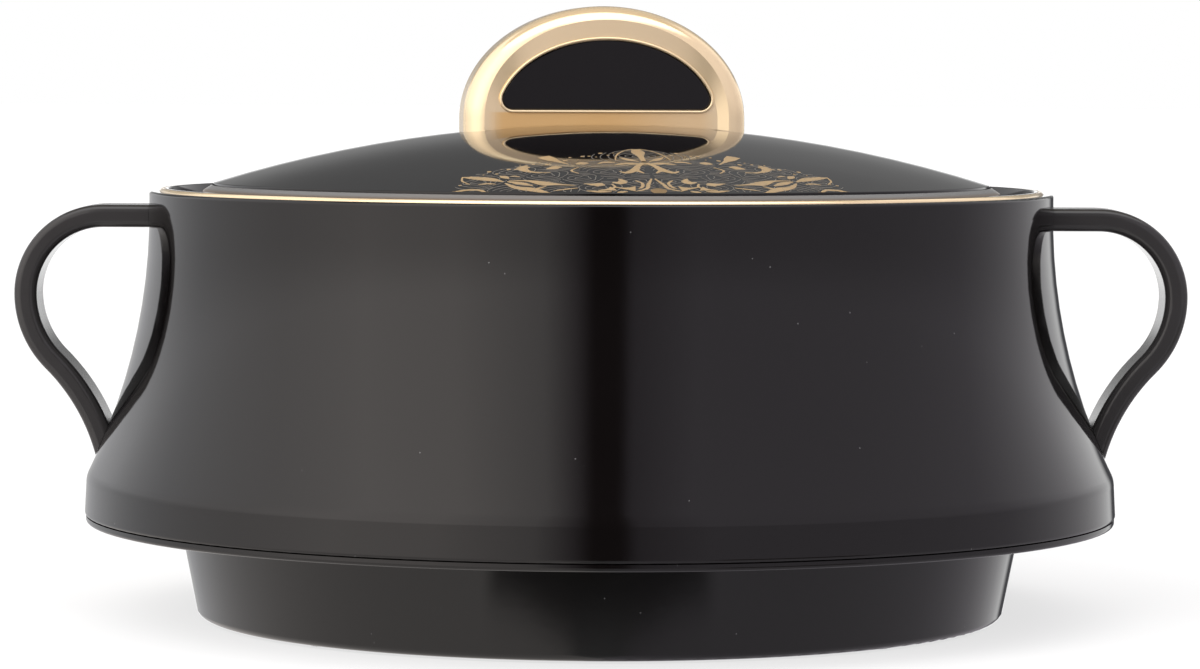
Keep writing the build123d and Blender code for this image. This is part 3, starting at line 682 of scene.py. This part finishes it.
def spray_dots():
    """Small dots of three sizes, scattered along the edge where the fan begins."""
    dots = []
    for number in range(SPRAY_COUNT):
        u = SPRAY_START + SPRAY_REACH * number / SPRAY_COUNT
        v = fan_top(u) + SPRAY_OFF + SPRAY_SWAY * math.sin(SPRAY_TURN * number)
        dots.append(disc(u, v, SPRAY_RADIUS + SPRAY_GROWTH * (number % 3)))
    return dots


def build_ornament():
    """The gold scroll fan in front of the knob, and the same again behind it."""
    strokes = [curve_through(scroll) for scroll in SCROLLS] + spray_dots() + [disc(*ROSETTE)]
    ripples = ripple_lines()
    bold = print_gold("print_gold", (0.50, 0.345, 0.17, 1), (0.62, 0.44, 0.24, 1))
    fine = print_gold("print_pale", (0.20, 0.185, 0.165, 1), (0.30, 0.28, 0.25, 1))
    for place, end in (("front", 1), ("back", -1)):
        for name, lines, material in (("scrolls", strokes, bold), ("ripples", ripples, fine)):
            points, faces = [], []
            for side in (1, -1):
                for line in lines:
                    add_stroke(points, faces, line, side, end)
            add_piece(f"lid_{name}_{place}", points, faces, material, "lid")


def panel_outline():
    """Middle line of the bead round a panel, as (across, height) points."""
    half, rise = PANEL_HALF + BEAD, PANEL_RISE + BEAD
    floor = SPRINGING_Z + PANEL_FLOOR - BEAD
    radius = PANEL_CORNER + BEAD

    def inner(turn):
        """The arch moved in by the corner's radius, and the arch's outward direction."""
        out = (math.cos(turn) / half, math.sin(turn) / rise)
        length = math.hypot(*out)
        out = (out[0] / length, out[1] / length)
        place = (half * math.cos(turn), SPRINGING_Z + rise * math.sin(turn))
        return (place[0] - radius * out[0], place[1] - radius * out[1]), out

    # The corner's centre lies on the moved arch, as high above the floor as its radius.
    low, high = 0.0, math.pi / 2
    for _ in range(HALVINGS):
        middle = (low + high) / 2
        if inner(middle)[0][1] < floor + radius:
            low = middle
        else:
            high = middle
    centre, out = inner(low)
    lean = math.atan2(out[1], out[0])
    right = [
        (half * math.cos(a), SPRINGING_Z + rise * math.sin(a))
        for a in (low + (math.pi / 2 - low) * n / ARCH_STEPS for n in range(ARCH_STEPS, 0, -1))
    ]
    right += [
        (centre[0] + radius * math.cos(a), centre[1] + radius * math.sin(a))
        for a in (lean - (lean + math.pi / 2) * n / CORNER_STEPS for n in range(CORNER_STEPS + 1))
    ]
    return right + [(-u, z) for u, z in reversed(right[1:])]


def build_beads(material):
    """A bright round bead round each of the knob's panels."""
    outline = panel_outline()
    for name, end in (("front", 1), ("back", -1)):
        points, faces = [], []
        for number, (u, z) in enumerate(outline):
            before, after = outline[number - 1], outline[(number + 1) % len(outline)]
            along = (after[0] - before[0], after[1] - before[1])
            length = math.hypot(*along)
            aside = (along[1] / length, -along[0] / length)
            for side in range(BEAD_SIDES):
                turn = 2 * math.pi * side / BEAD_SIDES
                reach, depth = BEAD * math.cos(turn), BEAD * math.sin(turn)
                height = z + reach * aside[1]
                across = u + reach * aside[0]
                points.append(lid_place(across * end, (BAR_FACE + BEAD + depth) * end, height))
        total = len(points)
        for start in range(0, total, BEAD_SIDES):
            ahead = (start + BEAD_SIDES) % total
            for side in range(BEAD_SIDES):
                after = (side + 1) % BEAD_SIDES
                faces.append((start + side, start + after, ahead + after, ahead + side))
        add_piece(f"knob_bead_{name}", points, faces, material, "lid")


def foot_outline():
    """Outline of the knob where it meets the lid, as (across, forwards) points."""
    corner = [math.radians(a) for a in range(80, -1, -8)]
    quarter = [(BAY_HALF, BAR_FACE), (BAY_MOUTH, FOOT_FACE - FOOT_INSET)]
    quarter += [
        (FOOT_HALF - FOOT_ROUND + FOOT_ROUND * math.cos(a),
         FOOT_FACE - FOOT_ROUND + FOOT_ROUND * math.sin(a)) for a in corner
    ]
    right = quarter + [(u, -v) for u, v in reversed(quarter)]
    return right + [(-u, -v) for u, v in right]


def build_foot_seal(material):
    """Fills the thin seat under the knob, level with its sides."""
    outline = []
    corners = foot_outline()
    for (u0, v0), (u1, v1) in zip(corners, corners[1:] + corners[:1]):
        pieces = max(1, round(math.hypot(u1 - u0, v1 - v0) / FOOT_STEP))
        outline += [
            (u0 + (u1 - u0) * n / pieces, v0 + (v1 - v0) * n / pieces) for n in range(pieces)
        ]
    points = [on_dome(u, v, lift) for lift in FOOT_SEAL for u, v in outline]
    count = len(outline)
    faces = [(n, n + count, (n + 1) % count + count, (n + 1) % count) for n in range(count)]
    add_piece("knob_foot_seal", points, faces, material, "lid")


def build_ring(material):
    """The gold ring on the rim, turned finely so that its edge shines evenly."""
    inside = RING_RADIUS - RING_WIDTH
    first, last, reach = RING_SLOPE
    out, up = math.cos(math.radians(last)), math.sin(math.radians(last))
    rest = reach - RING_CREST
    x = RING_RADIUS - reach * math.cos(math.radians(first))
    z = RING_TOP - RING_CREST
    arcs = (
        ((x, z - rest * up), reach, range(first, last, 2)),
        ((x + rest * out, z), RING_CREST, range(last, 91, 8)),
        ((inside + RING_EDGE, RING_TOP - RING_EDGE), RING_EDGE, range(90, 181, 10)),
    )
    profile = [(RING_RADIUS, RING_LOW)]
    for (x, z), radius, tilts in arcs:
        corner = [math.radians(tilt) for tilt in tilts]
        profile += [(x + radius * math.cos(a), z + radius * math.sin(a)) for a in corner]
    profile.append((inside, RING_LOW))
    rows = len(profile)
    points, faces = [], []
    for step in range(RING_TURNS):
        angle = 2 * math.pi * step / RING_TURNS
        points += [(r * math.cos(angle), r * math.sin(angle), z) for r, z in profile]
        here, there = step * rows, (step + 1) % RING_TURNS * rows
        for row in range(rows):
            after = (row + 1) % rows
            faces.append((here + row, there + row, there + after, here + after))
    ring = add_piece("rim_ring_fine", points, faces, material, "body")
    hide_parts("rim_ring")


# ---- Studio ------------------------------------------------------------------------
def build_world():
    """A soft studio: panels to the left and right of the camera and a light overhead."""
    world = bpy.data.worlds.new("studio")
    world.use_nodes = True
    bpy.context.scene.world = world
    tree = world.node_tree
    tree.nodes.clear()
    direction = add_node(tree, "ShaderNodeTexCoord").outputs["Generated"]
    x, y, z = parts_of(tree, direction)
    front = calc(tree, "MULTIPLY", y, -1.0)
    elevation = calc(tree, "DEGREES", calc(tree, "ARCSINE", z))
    azimuth = calc(tree, "DEGREES", calc(tree, "ARCTAN2", x, front))
    off_front = calc(tree, "ABSOLUTE", azimuth)

    share = calc(tree, "ADD", calc(tree, "DIVIDE", azimuth, 360.0), 0.5)
    ramp = add_node(tree, "ShaderNodeValToRGB", {0: share})
    stops = ramp.color_ramp.elements
    for number, (angle, colour) in enumerate(PANELS):
        place = angle / 360 + 0.5
        stop = stops[number] if number < 2 else stops.new(place)
        stop.position = place
        stop.color = [c / PANEL_PEAK for c in colour] + [1]
    full = smooth(tree, elevation, 0.0, PANEL_FULL)
    level = between(tree, full, PANEL_PEAK * PANEL_FOOT, PANEL_PEAK)
    light = vector_calc(tree, "SCALE", ramp.outputs["Color"], Scale=level)

    # Well below the horizon the panels are plainer, and the dark gap is wide at first.
    gap, tone = [spread(tree, elevation, *numbers) for numbers in (LOW_GAP, LOW_GAP_TONE)]
    gap = calc(tree, "MULTIPLY", gap, without(tree, smooth(tree, elevation, *LOW_GAP_TOP)))
    past_gap = calc(tree, "SUBTRACT", off_front, gap)
    lower = blend(tree, smooth(tree, x, *LOW_SPLIT), LOW_LEFT, LOW_RIGHT)
    lower = blend(tree, smooth(tree, past_gap, *LOW_GAP_EDGE), tone, lower)
    light = blend(tree, without(tree, smooth(tree, elevation, *LOW_BAND)), light, lower)

    # The knob's bevels show a dark corner there, low and to the right.
    sides = window(tree, azimuth, *DARK_CORNER_SIDES)
    corner = calc(tree, "MULTIPLY", sides, window(tree, elevation, *DARK_CORNER_HEIGHTS))
    light = blend(tree, corner, light, DARK_CORNER)

    # Behind, the pale floor lies below the horizon. A dim wall stands above it, which
    # reaches further round to the sides higher up.
    wider = between(tree, smooth(tree, elevation, *BEHIND_HEIGHTS), 0.0, BEHIND_WIDER)
    behind = smooth(tree, calc(tree, "ADD", off_front, wider), *BEHIND)
    above = smooth(tree, elevation, *REAR_FOOT)
    wall = between(tree, smooth(tree, elevation, *REAR_MIDDLE), *REAR_WALL)
    high = between(tree, smooth(tree, elevation, *REAR_HIGH), 0.0, REAR_WALL_HIGH)
    right = smooth(tree, x, *REAR_RIGHT)
    right = calc(tree, "MULTIPLY", right, smooth(tree, elevation, *REAR_RIGHT_HEIGHTS))
    wall = calc(tree, "ADD", wall, calc(tree, "MULTIPLY_ADD", right, REAR_WALL_RIGHT, high))
    light = blend(tree, calc(tree, "MULTIPLY", behind, above), light, wall)

    # Overhead, a light reaches from the front to just past the zenith.
    over = calc(tree, "DEGREES", calc(tree, "ARCTAN2", z, front))
    ceiling = blend(tree, smooth(tree, over, *CEILING_BACK), grey(CEILING_LIGHT), REAR_CEILING)
    light = blend(tree, smooth(tree, elevation, *CEILING_EDGE), light, ceiling)

    seen = add_node(tree, "ShaderNodeLightPath").outputs["Is Camera Ray"]
    backdrop = blend(tree, seen, light, grey(1.0))
    background = add_node(tree, "ShaderNodeBackground", {"Color": backdrop, "Strength": 1.0})
    output = add_node(tree, "ShaderNodeOutputWorld")
    tree.links.new(background.outputs[0], output.inputs["Surface"])


def build_fill():
    """A broad soft light from the front that reflections leave out."""
    light = bpy.data.lights.new("fill", "SUN")
    light.energy = FILL_STRENGTH
    light.angle = FILL_SPREAD
    fill = bpy.data.objects.new("fill", light)
    fill.rotation_euler = (math.pi / 2 - FILL_HEIGHT, 0, -FILL_ASIDE)
    fill.visible_glossy = False
    bpy.context.scene.collection.objects.link(fill)


def build_floor():
    """A plain pale floor that keeps the casserole's soft shadow."""
    mesh = bpy.data.meshes.new("floor")
    half = FLOOR_SIZE / 2
    corners = [(-half, -half, 0), (half, -half, 0), (half, half, 0), (-half, half, 0)]
    mesh.from_pydata(corners, [], [(0, 1, 2, 3)])
    floor = bpy.data.objects.new("floor", mesh)
    bpy.context.scene.collection.objects.link(floor)
    material, tree, shader = new_material("floor")
    tree.nodes.remove(shader)
    seen = add_node(tree, "ShaderNodeLightPath").outputs["Is Camera Ray"]
    pale = add_node(tree, "ShaderNodeBsdfDiffuse", {"Color": FLOOR_COLOUR})
    shadow = add_node(tree, "ShaderNodeBsdfDiffuse", {"Color": grey(FLOOR_SHADE)})
    glow = add_node(tree, "ShaderNodeEmission", {"Color": grey(1.0), "Strength": FLOOR_GLOW})
    bright = add_node(tree, "ShaderNodeAddShader", {0: shadow.outputs[0], 1: glow.outputs[0]})
    shaders = {0: seen, 1: pale.outputs[0], 2: bright.outputs[0]}
    mixed = add_node(tree, "ShaderNodeMixShader", shaders)
    tree.links.new(mixed.outputs[0], tree.nodes["Material Output"].inputs["Surface"])
    mesh.materials.append(material)
    floor.visible_glossy = False  # reflections show the studio's own pale floor and panels


def place_camera():
    """The camera stands in front, a little above the rim, and looks slightly down."""
    camera = bpy.data.objects.new("camera", bpy.data.cameras.new("camera"))
    bpy.context.scene.collection.objects.link(camera)
    camera.data.lens = CAMERA_LENS
    level = Euler((math.pi / 2 - CAMERA_PITCH, 0, 0)).to_matrix().to_4x4()
    roll = Matrix.Rotation(CAMERA_ROLL, 4, "Z")
    place = Matrix.Translation((CAMERA_ASIDE, -CAMERA_DISTANCE, CAMERA_HEIGHT))
    camera.matrix_world = place @ level @ roll
    bpy.context.scene.camera = camera


plating = dress_nodes()
build_ring(plating)
build_beads(plating)
build_foot_seal(plating)
build_ornament()
build_world()
build_fill()
build_floor()
place_camera()
bpy.context.scene.view_settings.view_transform = "Standard"
